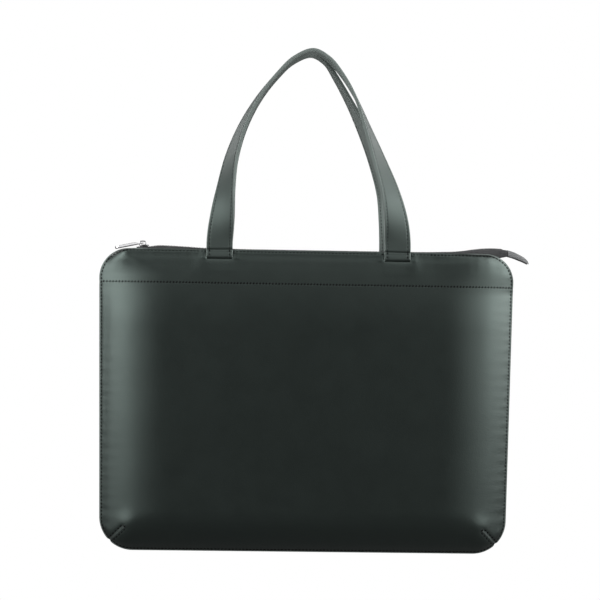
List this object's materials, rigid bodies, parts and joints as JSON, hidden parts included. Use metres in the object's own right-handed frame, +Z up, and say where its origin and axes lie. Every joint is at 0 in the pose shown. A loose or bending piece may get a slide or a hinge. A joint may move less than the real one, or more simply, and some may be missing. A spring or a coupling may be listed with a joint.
{
  "type": "laptop bag",
  "caption": "Slim zip-top laptop bag in smooth black leather, with sewn knife edges, a yoke, corner darts and twisted strap handles, shown hanging by its handles.",
  "frame": {"origin": "point under the straps' apex where the handles hang, on the bag's middle plane", "axes": "+Z up along the hanging bag, -Y to the front panel, +X to the zip's tail"},
  "size_m": [0.4169, 0.0514, 0.4866],
  "materials": {
    "body_leather": "smooth black leather with a soft sheen",
    "strap_leather": "smooth black strap leather with painted edges",
    "zip_tape": "black woven tape",
    "zip_coil": "black nylon coil",
    "end_tab": "dark grey woven tab",
    "nickel": "polished nickel"
  },
  "bodies": {
    "bag": {"front_panel": "body_leather", "back_panel": "body_leather", "front_yoke": "body_leather", "back_yoke": "body_leather", "front_handle": "strap_leather", "back_handle": "strap_leather", "zip_tape_front": "zip_tape", "zip_tape_back": "zip_tape", "zip_coil_front": "zip_coil", "zip_coil_back": "zip_coil", "zip_tail": "end_tab", "zip_slider": "nickel"},
    "pull": {"zip_pull": "nickel"}
  },
  "joints": [
    {"name": "pull_swing", "type": "hinge", "parent": "bag", "child": "pull", "pos_m": [-0.16, 0, -0.1862], "axis": [0, 1, 0], "range_deg": [0, 168]}
  ]
}
